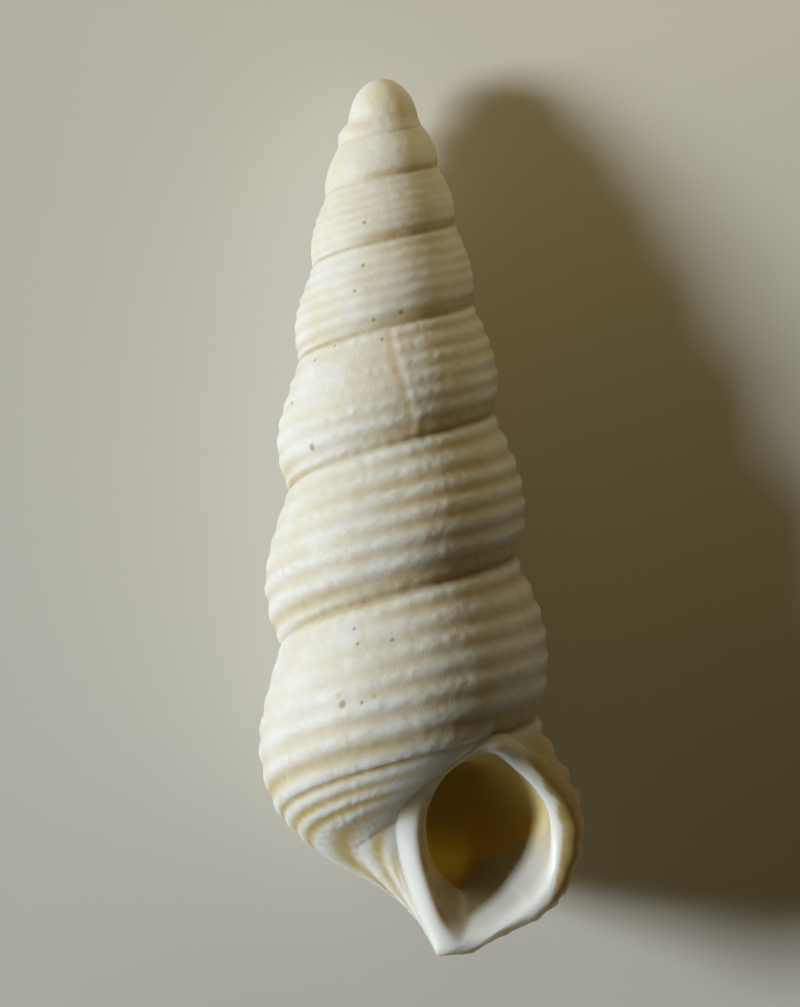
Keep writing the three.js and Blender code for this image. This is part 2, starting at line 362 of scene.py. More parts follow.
@dataclass(frozen=True)
class Relief:
    """What stands out of the smooth whorls: cords, beads, growth lines, the seam and a healed break.

    A pair named turns or rows is where something sets in or dies out. A grain is how often its noise
    changes in a turn and in a row, and the layer that is read.
    """

    growth: Growth
    groove_rows: tuple[float, ...] = (
        0.0, 0.12, 0.29, 0.43, 0.58, 0.735, 0.9, 1.07, 1.26, 1.47, 1.7, 1.95, 2.25, 2.6, 3.0,
    )
    wander: float = 0.12
    wander_grain: Triple = (1.7, 2.0, 3.1)
    wander_rows: Pair = (0.0, 0.2)
    neck_skew: float = 7.0
    neck_rows: Pair = (1.4, 2.3)
    cord_height: float = 0.018
    cord_roundness: float = 0.85
    cord_growth: tuple[tuple[float, Pair], ...] = ((0.3, (1.4, 2.6)), (0.35, (2.6, 4.0)), (0.35, (4.0, 5.2)))
    lip_cord_height: float = 0.04
    lip_cord_turns: Pair = (6.9, 7.0)
    base_loss: float = 0.45
    base_loss_rows: Pair = (1.1, 1.7)
    pillar_loss: float = 0.6
    pillar_loss_rows: Pair = (2.2, 2.8)
    least_by_glaze: float = 0.15
    glaze_turns: Pair = (0.0, 0.07)
    seam_margin: float = 0.05
    lip_zone: float = 6.5
    rim_widths: Pair = (0.12, 0.03)
    rim_width_rows: Pair = (0.1, 0.5)
    rim_rows: Pair = (0.45, 0.75)
    lip_foot_turns: Pair = (-0.12, -0.02)
    lip_foot_rows: Pair = (1.2, 1.5)
    size_at_tip: float = 0.45
    size_per_turn: float = 0.1
    tip_turns: Pair = (-1.6, 1.0)
    end_rows: Pair = (2.7, 2.98)
    flat_by_glaze: Pair = (0.01, 0.15)
    bead_height: float = 0.01
    bead_size: float = 0.045
    bead_in_groove: float = 0.35
    growth_height: float = 0.003
    growth_grain: Triple = (46.0, 1.5, 0.0)
    lump_height: float = 0.01
    lump_size: float = 0.45
    seam_depth: float = 0.012
    seam_width: float = 0.035
    seam_grain: Triple = (9.0, 0.0, 7.7)
    seam_on_spire: float = 0.3
    seam_spire_turns: Pair = (1.5, 4.5)
    seam_tip_turns: Pair = (-0.1, 1.2)
    worn_from: float = 4.5
    worn_turns: Pair = (0.2, 0.5)
    worn_edges: Pair = (0.14, 0.1)
    worn_rows: Pair = (0.3, 0.75)
    worn_grain: Triple = (9.0, 2.0, 6.0)
    worn_shares: Pair = (0.45, 0.8)
    worn_growth: Pair = (5.0, 6.0)
    break_turns: Pair = (4.247, 4.215)
    break_bend: float = 0.0015
    break_waves: float = 7.0
    break_grain: Triple = (14.0, 1.0, 0.0)
    break_layer: float = 4.4
    break_step: float = 0.007
    break_sharpness: float = 0.004
    break_reach: Pair = (0.02, 0.18)
    break_ridge: float = 0.6
    break_ridge_turns: float = 0.006
    break_margin: float = 0.08
    break_scar: float = 0.75
    break_scar_widths: Pair = (0.004, 0.011)
    break_scar_rows: Pair = (0.2, 0.6)
    smooth_share: float = 0.7
    smooth_turns: Pair = (0.1, 0.3)
    smooth_rows: Pair = (0.5, 0.9)

    def cord_strength(self, turn: float, row: float) -> float:
        """How strongly the cords stand: worn off on the tip, lost under the glaze and on the lip's rim.

        Args:
            turn: The turn.
            row: The row.

        Returns:
            A share from 0 to 1.
        """
        strength = sum(share * smoothstep(*turns, turn) for share, turns in self.cord_growth)
        strength *= 1.0 - max(self.smoothed(turn, row), self.worn(turn, row))
        strength *= self.off_lip(turn, row)
        if row > 1.0:
            bared = smoothstep(*self.glaze_turns, turn - self.growth.glaze_edge(row))
            strength *= lerp(self.least_by_glaze, 1.0, bared)
            return strength * (1.0 - self.pillar_loss * smoothstep(*self.pillar_loss_rows, row))
        strength *= smoothstep(0.0, self.seam_margin, row)
        if turn < self.growth.last_turn - 1.0:
            strength *= smoothstep(0.0, self.seam_margin, 1.0 - row)
        return strength

    def off_lip(self, turn: float, row: float) -> float:
        """Fades the cords out on the lip's smooth rim: 0 on it and 1 off it."""
        if turn < self.lip_zone:
            return 1.0
        past = turn - self.growth.lip_turn(row)
        width = lerp(*self.rim_widths, smoothstep(*self.rim_width_rows, row))
        rim = smoothstep(-width, -0.1 * width, past) * fade(*self.rim_rows, row)
        foot = smoothstep(*self.lip_foot_turns, past) * smoothstep(*self.lip_foot_rows, row)
        return 1.0 - max(rim, foot)

    def cord_place(self, turn: float, row: float) -> float:
        """Which cord a point lies on, counted from the upper seam, a whole number in each groove."""
        last = len(self.groove_rows) - 2
        index = next((k for k in range(last) if row < self.groove_rows[k + 1]), last)
        share = (row - self.groove_rows[index]) / (self.groove_rows[index + 1] - self.groove_rows[index])
        wander = self.wander * grained(self.wander_grain, turn, row) * smoothstep(*self.wander_rows, row)
        skew = self.neck_skew * (turn - self.growth.glaze_turn) * smoothstep(*self.neck_rows, row)
        return index + share + wander - skew

    def cord_wave(self, turn: float, row: float) -> float:
        """The cords' section: 0 in a groove and 1 on a crest."""
        return math.sin(math.pi * self.cord_place(turn, row)) ** 2

    def healed(self, turn: float, row: float) -> float:
        """How far past the healed break a point lies, in turns, before it if negative."""
        bend = math.sin(row * self.break_waves) + grained(self.break_grain, row, self.break_layer)
        return turn - lerp(*self.break_turns, row) - self.break_bend * bend

    def smoothed(self, turn: float, row: float) -> float:
        """How much the cords are lost on the newer shell next to the healed break."""
        past = self.healed(turn, row)
        if row > 1.0 or past < 0.0:
            return 0.0
        return self.smooth_share * fade(*self.smooth_turns, past) * fade(*self.smooth_rows, row)

    def worn(self, turn: float, row: float) -> float:
        """How much the cords are worn off the upper left of the last two whorls, as the shell is seen."""
        if row > 1.0 or turn < self.worn_from:
            return 0.0
        low, high = self.worn_turns
        rise, fall = self.worn_edges
        side_on = smoothstep(low, low + rise, turn % 1.0) * fade(high, high + fall, turn % 1.0)
        upper = fade(*self.worn_rows, row + 0.25 * grained(self.worn_grain, turn, row))
        return lerp(*self.worn_shares, smoothstep(*self.worn_growth, turn)) * side_on * upper

    def scar(self, turn: float, row: float) -> float:
        """How white the shell is along the healed break, from 0 to 1."""
        width = lerp(*self.break_scar_widths, smoothstep(*self.break_scar_rows, row))
        line = bell(self.healed(turn, row) + width, width)
        return self.break_scar * line if 0.0 < row < 1.0 else 0.0

    def seam_groove(self, turn: float, row: float) -> float:
        """How deep in the seam a point lies: 1 on the seam's line."""
        if row > 1.0 or (row > 0.5 and turn > self.growth.last_turn - 1.0):
            return 0.0
        seam_turn = turn + 1.0 if row > 0.5 else turn
        width = self.seam_width * (1.0 + 0.5 * grained(self.seam_grain, seam_turn, 0.0))
        depth = max(fade(0.0, 1.5 * width, row), fade(0.0, width, 1.0 - row))
        depth *= lerp(self.seam_on_spire, 1.0, smoothstep(*self.seam_spire_turns, turn + row))
        return depth * smoothstep(*self.seam_tip_turns, turn + row)

    def height(self, turn: float, row: float, point: Vector) -> float:
        """How far a point of the outside stands off the smooth whorl.

        Args:
            turn: The point's turn.
            row: The point's row.
            point: The point on the smooth whorl.

        Returns:
            The height in millimetres, negative in a groove.
        """
        size = min(1.0, self.size_at_tip + self.size_per_turn * (turn + row))
        size *= smoothstep(*self.tip_turns, turn + row)
        wave = self.cord_wave(turn, row)
        tall = lerp(self.cord_height, self.lip_cord_height, smoothstep(*self.lip_cord_turns, turn))
        tall *= 1.0 - self.base_loss * smoothstep(*self.base_loss_rows, row)
        height = tall * self.cord_strength(turn, row) * (wave**self.cord_roundness - 0.5)
        beads = noise.noise(point / self.bead_size) + 0.5 * noise.noise(point / (0.5 * self.bead_size))
        height += self.bead_height * beads * lerp(self.bead_in_groove, 1.0, wave) * size
        height += self.growth_height * grained(self.growth_grain, turn, row) * size
        height += self.lump_height * noise.noise(point / self.lump_size) * size
        height -= self.seam_depth * self.seam_groove(turn, row) * size
        height += self.break_height(turn, row)
        if row > 1.0:
            height *= smoothstep(*self.flat_by_glaze, turn - self.growth.glaze_edge(row))
        return height * fade(*self.end_rows, row)

    def break_height(self, turn: float, row: float) -> float:
        """The step down past the healed break, with the low ridge before it."""
        past = self.healed(turn, row)
        if not 0.0 < row < 1.0 or abs(past) > 0.2:
            return 0.0
        step = -smoothstep(-self.break_sharpness, self.break_sharpness, past) * fade(*self.break_reach, past)
        step += self.break_ridge * bell(past + self.break_ridge_turns, self.break_ridge_turns)
        margin = smoothstep(0.0, self.break_margin, row) * smoothstep(0.0, self.break_margin, 1.0 - row)
        return self.break_step * step * margin


@dataclass(frozen=True)
class StainsAndShade:
    """The buff stain in the grooves, by the seam and on the lip, with painted shade, a painted shadow and
    painted light.
    """

    relief: Relief
    sharpness: float = 1.3
    patch: Pair = (0.5, 0.45)
    patch_grain: Triple = (6.0, 3.0, 1.3)
    body_patch: float = 0.35
    body_rows: Pair = (0.65, 0.9)
    body_turns: Pair = (6.0, 6.3)
    seam_patch: Pair = (0.7, 0.4)
    seam_grain: Triple = (5.0, 1.0, 9.0)
    seam_layer: float = 0.2
    # Painted shadow: the dark line beside the healed break's step.
    shadow: float = 0.5
    shadow_at: float = 0.008
    shadow_width: float = 0.007
    # Painted shade: a buff band above the seam on the shaded right.
    band_at: float = 0.1
    band_reach: Pair = (0.35, 0.9)
    band_rows: Pair = (0.8, 0.92)
    band_turns: Pair = (0.0, 1.5)
    band: float = 0.6
    band_patch: Pair = (0.8, 0.5)
    lip: float = 0.8
    lip_turns: Pair = (-0.12, -0.03)
    lip_top_rows: Pair = (0.0, 0.12)
    lip_foot: float = 0.7
    lip_foot_rows: Pair = (0.7, 1.1)
    # Painted light: how much paler the grooves are on the side that faces the key lamp.
    lit_side_paling: float = 0.75
    lit_side_at: float = 0.42
    lit_side_width: float = 0.17
    lit_side_rows: Pair = (0.6, 1.0)
    end_rows: Pair = (2.6, 2.95)

    def amount(self, turn: float, row: float) -> float:
        """How much stain and painted shade lies on a point of the outside, from 0 to 1."""
        most = max(self.in_groove(turn, row), self.by_seam(turn, row), self.past_break(turn, row))
        return min(1.0, max(most, self.on_lip(turn, row))) * fade(*self.end_rows, row)

    def in_groove(self, turn: float, row: float) -> float:
        """The stain between the cords, patchy, and painted paler on the upper left, where the key lamp
        falls.
        """
        groove = (1.0 - self.relief.cord_wave(turn, row)) ** self.sharpness
        patch = self.patch[0] + self.patch[1] * grained(self.patch_grain, turn, row)
        patch += self.body_patch * smoothstep(*self.body_rows, row) * smoothstep(*self.body_turns, turn)
        # Painted light: less stain on the upper left, the side lit by the key lamp.
        side_on = bell(turn % 1.0 - self.lit_side_at, self.lit_side_width)
        lit_side_paling = 1.0 - self.lit_side_paling * side_on * fade(*self.lit_side_rows, row)
        return groove * self.relief.cord_strength(turn, row) * patch * lit_side_paling

    def by_seam(self, turn: float, row: float) -> float:
        """The stain in the seam, and a band of painted shade above it on the shell's shaded right as it is
        seen.
        """
        seam_turn = turn + 1.0 if row > 0.5 else turn
        patchy = self.seam_patch[1] * grained(self.seam_grain, seam_turn, self.seam_layer)
        patchy += self.seam_patch[0]
        seam = self.relief.seam_groove(turn, row) ** self.sharpness * patchy
        if row >= 1.0 or turn >= self.relief.growth.last_turn - 1.0:
            return seam
        # Painted shade: the band goes only on the right, the side turned away from the key lamp.
        facing = 0.5 + 0.5 * math.cos(2.0 * math.pi * (turn - self.band_at))
        band = smoothstep(*self.band_rows, row) * smoothstep(*self.band_turns, turn)
        band *= smoothstep(*self.band_reach, facing) * (self.band_patch[0] + self.band_patch[1] * patchy)
        return max(seam, self.band * band)

    def past_break(self, turn: float, row: float) -> float:
        """The painted shadow: a dark line just past the healed break."""
        past = self.relief.healed(turn, row)
        return self.shadow * bell(past - self.shadow_at, self.shadow_width) if 0.0 < row < 1.0 else 0.0

    def on_lip(self, turn: float, row: float) -> float:
        """The buff band along the outer lip's edge."""
        if turn <= self.relief.lip_zone:
            return 0.0
        lip = self.lip * smoothstep(*self.lip_turns, turn - self.relief.growth.lip_turn(row))
        lip *= 1.0 - self.lip_foot * smoothstep(*self.lip_foot_rows, row)
        return lip * smoothstep(*self.lip_top_rows, row)


@dataclass(frozen=True)
class Spoke:
    """One line in from the skin's open edge, over the lip or the pillar and back into the hollow.

    Attributes:
        on_lip: Whether it starts on the outer lip's side.
        place: The share of the way from the mouth's top corner to its foot.
        edge: Where the outer skin ends.
        inner: The mouth's inner edge beside it.
        angle: Where round the hollow's oval it runs to, in radians.
        wave: The cords' section at the edge, 0 in a groove and 1 on a crest.
    """

    on_lip: bool
    place: float
    edge: Vector
    inner: Vector
    angle: float
    wave: float


@dataclass(frozen=True)
class Mouth:
    """The open mouth: its inner edge, the rounded lip, the glazed pillar and the hollow behind."""

    lip_side: Chain = (
        (0.571, 5.419, 0.75), (0.697, 5.457, 0.67), (0.813, 5.547, 0.58), (0.967, 5.698, 0.48),
        (1.078, 5.887, 0.38), (1.101, 6.088, 0.32), (1.082, 6.32, 0.29), (1.019, 6.493, 0.275),
        (0.908, 6.632, 0.27), (0.775, 6.738, 0.27), (0.603, 6.834, 0.275), (0.359, 6.911, 0.28),
    )
    pillar_side: Chain = (
        (0.571, 5.419, 0.75), (0.473, 5.463, 0.78), (0.316, 5.564, 0.77), (0.223, 5.664, 0.68),
        (0.154, 5.789, 0.56), (0.104, 5.907, 0.47), (0.086, 6.042, 0.41), (0.096, 6.179, 0.37),
        (0.114, 6.308, 0.34), (0.148, 6.437, 0.31), (0.196, 6.616, 0.29), (0.253, 6.77, 0.28),
        (0.359, 6.911, 0.28),
    )
    lip_outline: Chain = (
        (0.844, 5.22, 0.5), (1.018, 5.26, 0.45), (1.125, 5.385, 0.42), (1.274, 5.624, 0.36),
        (1.326, 5.722, 0.33), (1.369, 5.916, 0.28), (1.353, 6.172, 0.25), (1.324, 6.283, 0.24),
        (1.268, 6.456, 0.235), (1.148, 6.635, 0.23), (1.04, 6.726, 0.23), (0.965, 6.779, 0.23),
        (0.746, 6.841, 0.23), (0.609, 6.875, 0.235), (0.509, 6.958, 0.24), (0.387, 7.001, 0.25),
        (0.154, 7.014, 0.28),
    )
    outline_reach: Pair = (0.28, 0.45)
    crenulation: float = 0.04
    crenulation_end: Pair = (0.7, 0.85)
    brim_share: float = 0.2
    brim_rise_on_lip: float = 0.7
    brim_rise_on_pillar: float = 0.45
    brow_share: float = 0.4
    brow_rise: float = 0.75
    lip_crest: float = 0.035
    pillar_crest: Pair = (0.02, 0.05)
    pillar_start: Pair = (0.42, 0.62)
    knob_height: float = 0.12
    knob_place: float = 0.05
    knob_reach: float = 0.06
    knob_at: Triple = (0.702, 5.349, 0.71)
    knob_size: float = 0.085
    knob_rise: Triple = (0.02, 0.02, 0.07)
    end_height: float = 0.03
    end_reach: float = 0.04
    middle: Pair = (0.6, -6.15)
    rim_rings: int = 12
    soft_rim: float = 0.75
    soft_lip: float = 0.72
    smooth_rings: int = 10
    smooth_passes: int = 14
    pale_on_lip: Pair = (0.35, 0.7)
    pale_on_pillar: Pair = (0.66, 0.95)
    bend_in: Pair = (0.03, 0.62)
    bend_down: Pair = (0.5, 0.17)
    hollow_turns: float = 0.72
    hollow_rings: int = 34
    hollow_radius: float = 0.53
    hollow_drop: float = 0.79
    hollow_half_width: float = 0.345
    hollow_half_height: float = 0.39
    blend_turns: float = 0.16
    top_angle: float = 70.0
    foot_angle: float = -110.0

    def spoke(self, on_lip: bool, place: float, edge: Vector, wave: float) -> Spoke:
        """The line in from a point of the open edge, with its inner edge and its angle worked out."""
        inner = point_along(self.lip_side if on_lip else self.pillar_side, place)
        foot = self.foot_angle if on_lip else self.foot_angle + 360.0
        return Spoke(on_lip, place, edge, inner, math.radians(lerp(self.top_angle, foot, place)), wave)

    def knob(self, point: Vector) -> float:
        """How much of the white knob at the mouth's top corner covers a point, from 0 to 1."""
        x, down, z = self.knob_at
        return bell((point - Vector((x, -down, z))).length, self.knob_size)

    def hollow(self, growth: Growth, turns_in: float, angle: float) -> Vector:
        """A point on the wall of the hollow.

        Args:
            growth: The shell's spiral.
            turns_in: How far back from the mouth, in turns.
            angle: Where round the oval, in radians.

        Returns:
            The point in the upright shell's frame.
        """
        turn = 7.0 - turns_in
        top = growth.seam(turn)
        height = growth.seam(turn + 1.0).y - top.y
        widest = growth.side(min(turn, growth.flare_start), growth.widest_row).x
        closing = math.sqrt(max(0.0, 1.0 - (turns_in / self.hollow_turns) ** 4))
        radius = widest * (self.hollow_radius + self.hollow_half_width * closing * math.cos(angle))
        down = top.y + height * (self.hollow_drop - self.hollow_half_height * closing * math.sin(angle))
        return swing(radius, down, turn)

    def pale(self, spoke: Spoke) -> float:
        """How far the wall behind the mouth's edge lies open to the light, from 0 to 1."""
        return smoothstep(*(self.pale_on_lip if spoke.on_lip else self.pale_on_pillar), spoke.place)

    def wall(self, growth: Growth, spoke: Spoke, turns_in: float) -> Vector:
        """A point on the wall between the mouth's inner edge and the end of the hollow.

        Args:
            growth: The shell's spiral.
            spoke: The line that the point is on.
            turns_in: How far back from the mouth, in turns.

        Returns:
            The point in the upright shell's frame.
        """
        if turns_in >= self.blend_turns:
            return self.hollow(growth, turns_in, spoke.angle)
        gate = self.hollow(growth, self.blend_turns, spoke.angle)
        inner = spoke.inner
        pale = self.pale(spoke)
        bend = inner.lerp(Vector((*self.middle, inner.z)), lerp(*self.bend_in, pale))
        bend.z = inner.z - lerp(*self.bend_down, pale)
        t = turns_in / self.blend_turns
        return inner.lerp(bend, t).lerp(bend.lerp(gate, t), t)

    def lift(self, spoke: Spoke) -> float:
        """How high the lip or the pillar's glaze is rounded up, with its knob and its thick end."""
        place = spoke.place
        crest, from_knob = self.lip_crest, place - self.knob_place
        if not spoke.on_lip:
            crest = lerp(*self.pillar_crest, smoothstep(*self.pillar_start, place))
            from_knob = place + self.knob_place
        height = crest * math.sin(math.pi * min(max(place, 0.0), 1.0)) ** 0.5
        height += self.knob_height * bell(from_knob, self.knob_reach)
        return height + self.end_height * bell(1.0 - place, self.end_reach)

    def rim(self, spoke: Spoke, share: float) -> Vector:
        """A point on the rounded lip or on the glaze over the pillar.

        Args:
            spoke: The line that the point is on.
            share: 0 at the outer surface's edge, 1 at the inner edge.

        Returns:
            The point in the upright shell's frame.
        """
        edge, inner, place = spoke.edge, spoke.inner, spoke.place
        brim = edge.lerp(inner, self.brim_share)
        raised = smoothstep(*self.pillar_start, place)
        brim_rise = self.brim_rise_on_pillar
        if spoke.on_lip:
            guide = point_along(self.lip_outline, place)
            outward = (guide - inner) * Vector((1.0, 1.0, 0.0))
            notch = fade(*self.crenulation_end, place) * (spoke.wave - 0.5) * self.crenulation
            guide += outward.normalized() * notch
            brim = brim.lerp(guide, smoothstep(*self.outline_reach, place))
            raised = 1.0
            brim_rise = self.brim_rise_on_lip
        crest = inner.lerp(brim, 0.5)
        crest.z = lerp(crest.z, max(crest.z, inner.z), raised) + self.lift(spoke)
        brim.z = lerp(brim.z, crest.z, brim_rise)
        brow = inner.lerp(crest, self.brow_share)
        brow.z = lerp(inner.z, crest.z, self.brow_rise)
        return spline((edge, brim, crest, brow, inner), share)

    def soft(self, spoke: Spoke) -> bool:
        """Whether the mouth's inner edge is rounded off, as on the pillar, or a clear line."""
        return not spoke.on_lip or spoke.place > self.soft_lip


@dataclass(frozen=True)
class MouthTints:
    """The tints of the mouth: the lip's buff and white bands, the glaze, and painted shade on the pillar and
    the hollow's wall.
    """

    mouth: Mouth
    ripple: float = 0.05
    ripples: float = 62.0
    wander: float = 0.1
    wander_grain: Triple = (21.0, 1.0, 0.0)
    wander_layer: float = 5.5
    band_start: float = 0.25
    band_least: float = 0.02
    band_width: float = 0.4
    band_softness: float = 0.15
    band_in: Pair = (0.12, 0.35)
    band_out: Pair = (0.56, 0.68)
    band_stain: float = 0.95
    stain_in: Pair = (0.1, 0.2)
    stain_out: Pair = (0.56, 0.7)
    top_stain: float = 0.7
    top_in: Pair = (0.08, 0.16)
    top_out: Pair = (0.38, 0.5)
    edge_shade: float = 0.8
    edge_in: Pair = (0.5, 0.85)
    edge_out: Pair = (0.85, 0.97)
    glaze_in: Pair = (0.0, 0.2)
    depth_from: Pair = (-0.02, 0.1)
    depth_to: Pair = (0.05, 0.34)
    wall_shade: float = 0.75
    lip_wall_buff: float = 0.12
    pillar_wall_shade: float = 0.8
    pillar_wall_out: Pair = (0.9, 1.0)
    # Painted shade: grey that darkens the lit lower wall, gone towards the mouth's foot.
    painted_shade: float = 0.75
    painted_shade_out: Pair = (0.75, 1.0)
    painted_shade_in: Pair = (0.0, 0.03)

    def rim(self, spoke: Spoke, share: float) -> dict[str, float]:
        """The tints of the lip and of the glaze over the pillar, with painted shade on the pillar's inner
        edge.

        Args:
            spoke: The line that the point is on.
            share: 0 at the outer edge, 0.5 on the crest, 1 at the inner edge.

        Returns:
            The values of the attributes by name.
        """
        place = spoke.place
        if spoke.on_lip:
            wave = self.ripple * math.sin(place * self.ripples)
            wave += self.wander * grained(self.wander_grain, place, self.wander_layer)
            inside = (share - self.band_start) / (1.0 - self.band_start) + wave
            band = self.band_width * smoothstep(*self.band_in, place) * fade(*self.band_out, place)
            band += self.band_least
            white = smoothstep(band, band + self.band_softness, inside)
            buff = smoothstep(*self.stain_in, place) * fade(*self.stain_out, place)
            return {"glaze": white, "stain_and_shade": self.band_stain * (1.0 - white) * buff, "crest": 0.0}
        top = self.top_stain * smoothstep(*self.top_in, place) * fade(*self.top_out, place)
        # Painted shade: buff darkens the pillar's glaze towards the mouth's inner edge, where it curves away
        # from the light.
        edge = self.edge_shade * smoothstep(*self.edge_in, share) * fade(*self.edge_out, place)
        return {"glaze": smoothstep(*self.glaze_in, share), "stain_and_shade": max(top, edge), "crest": 0.0}

    def wall(self, spoke: Spoke, turns_in: float) -> dict[str, float]:
        """The tints of the hollow's wall, glaze with painted shade, which stays pale furthest in on its lit
        lower right.

        Args:
            spoke: The line that the point is on.
            turns_in: How far back from the mouth, in turns.

        Returns:
            The values of the attributes by name.
        """
        pale = self.mouth.pale(spoke)
        # Painted shade: the warm hollow colour sets in where the wall turns into shade, later where it is
        # lit.
        depth = smoothstep(lerp(*self.depth_from, pale), lerp(*self.depth_to, pale), turns_in)
        lit = self.pillar_wall_shade * fade(*self.pillar_wall_out, spoke.place)
        painted_shade = 0.0
        if spoke.on_lip:
            lit = self.lip_wall_buff
            # Painted shade: grey on the lit lower wall.
            painted_shade = self.painted_shade * pale * fade(*self.painted_shade_out, spoke.place) * smoothstep(*self.painted_shade_in, turns_in)
        # Painted shade: buff on the shaded wall by the mouth and on the lower pillar's wall.
        stain_and_shade = lerp(self.wall_shade, lit, pale) * (1.0 - depth)
        return {"glaze": 1.0, "hollow": depth, "stain_and_shade": stain_and_shade, "painted_shade": painted_shade}


@dataclass(frozen=True)
class Resting:
    """How the upright shell is laid on its back in the frame."""

    lean_deg: float = 6.5
    flat_depth: float = 0.05

    def place(self) -> Matrix:
        """The turn that lays the shell down, with millimetres made metres."""
        return Matrix.Rotation(math.radians(-self.lean_deg), 4, "X") @ Matrix.Scale(MM, 4)


class Mark(Enum):
    """The kinds of small mark that show on this shell."""

    WHITE_PATCH = "white patch"
    YELLOW_FLECK = "yellow fleck"
    BROWN_SPOT = "brown spot"
    ORANGE_DOT = "orange dot"
    DARK_SPECK = "dark speck"


@dataclass(frozen=True)
class MarkKind:
    """One kind of mark: its colour, and the turn, row and radius in millimetres of each such mark."""

    kind: Mark
    colour: Triple
    places: tuple[Triple, ...]


@dataclass(frozen=True)
class Marks:
    """The marks on the shell, from the lowest layer up."""

    strength: float = 0.6
    softness: Pair = (0.35, 1.1)
    kinds: tuple[MarkKind, ...] = (
        MarkKind(Mark.WHITE_PATCH, (0.86, 0.87, 0.88), (
            (6.347, 0.53, 0.056), (3.201, 0.60, 0.07), (4.160, 0.57, 0.07),
        )),
        MarkKind(Mark.YELLOW_FLECK, (0.62, 0.54, 0.22), ((6.326, 0.54, 0.036), (6.285, 0.60, 0.034))),
        MarkKind(Mark.BROWN_SPOT, (0.3, 0.12, 0.05), (
            (6.322, 0.60, 0.042), (6.083, 0.99, 0.036), (3.229, 0.88, 0.026),
        )),
        MarkKind(Mark.ORANGE_DOT, (0.42, 0.13, 0.03), ((4.382, 0.85, 0.036),)),
        MarkKind(Mark.DARK_SPECK, (0.2, 0.16, 0.11), (
            (2.299, 0.68, 0.02), (3.299, 0.25, 0.02), (3.312, 0.53, 0.018), (3.278, 0.90, 0.021),
            (4.264, 0.10, 0.018), (4.354, 0.05, 0.02), (4.396, 0.12, 0.018), (4.438, 0.42, 0.021),
            (6.312, 0.15, 0.02), (6.306, 0.25, 0.018), (6.264, 0.28, 0.021), (6.299, 0.62, 0.02),
        )),
    )


class Nodes:
    """A short way to write a material's node tree."""

    def __init__(self, name: str) -> None:
        """Starts an empty material.

        Args:
            name: The material's name.
        """
        self.material = bpy.data.materials.new(name)
        self.material.use_nodes = True
        self.tree = self.material.node_tree
        self.tree.nodes.clear()

    def add(self, kind: str, **settings: object) -> Node:
        """Adds a node.

        Args:
            kind: The node's type, without the ShaderNode prefix.
            **settings: Its properties by name.

        Returns:
            The node.
        """
        node = self.tree.nodes.new("ShaderNode" + kind)
        for name, value in settings.items():
            setattr(node, name, value)
        return node

    def put(self, node: Node, socket: str | int, value: object) -> None:
        """Sets an input of a node to a number, a colour or another node's output."""
        if isinstance(value, NodeSocket):
            self.tree.links.new(value, node.inputs[socket])
        else:
            node.inputs[socket].default_value = value

    def attribute(self, name: str) -> NodeSocket:
        """The value of one of the mesh's own attributes."""
        return self.add("Attribute", attribute_name=name).outputs["Fac"]

    def noise(self, vector: NodeSocket, scale: float, detail: float) -> NodeSocket:
        """A noise texture's value, about 0.5 on average.

        Args:
            vector: The coordinates.
            scale: How many features a unit of them holds.
            detail: How many finer layers it has.

        Returns:
            The value.
        """
        node = self.add("TexNoise")
        self.put(node, "Vector", vector)
        self.put(node, "Scale", scale)
        self.put(node, "Detail", detail)
        return node.outputs["Fac"]

    def maths(self, operation: str, a: object, b: object, clamp: bool = False) -> NodeSocket:
        """One sum of two values.

        Args:
            operation: The Math node's operation.
            a: The first value or socket.
            b: The second value or socket.
            clamp: Whether the result is kept between 0 and 1.

        Returns:
            The result.
        """
        node = self.add("Math", operation=operation, use_clamp=clamp)
        self.put(node, 0, a)
        self.put(node, 1, b)
        return node.outputs[0]

    def times(self, a: object, b: object, clamp: bool = False) -> NodeSocket:
        """The product of two values or sockets."""
        return self.maths("MULTIPLY", a, b, clamp)

    def ramp(self, value: NodeSocket, low: float, high: float) -> NodeSocket:
        """Rises smoothly from 0 to 1 as value goes from low to high."""
        node = self.add("MapRange", interpolation_type="SMOOTHSTEP")
        self.put(node, "Value", value)
        self.put(node, "From Min", low)
        self.put(node, "From Max", high)
        return node.outputs["Result"]

    def mix(self, share: object, a: object, b: object) -> NodeSocket:
        """Mixes two colours.

        Args:
            share: How much of b there is, from 0 to 1.
            a: The first colour, of three numbers, or a socket.
            b: The second colour or socket.

        Returns:
            The mixed colour.
        """
        node = self.add("Mix", data_type="RGBA")
        self.put(node, "Factor", share)
        for socket, colour in ((6, a), (7, b)):
            self.put(node, socket, (*colour, 1.0) if isinstance(colour, tuple) else colour)
        return node.outputs[2]

    def finish(self, shader: Node) -> Material:
        """Sends a shader to the material's output."""
        self.put(self.add("OutputMaterial"), "Surface", shader.outputs["BSDF"])
        return self.material


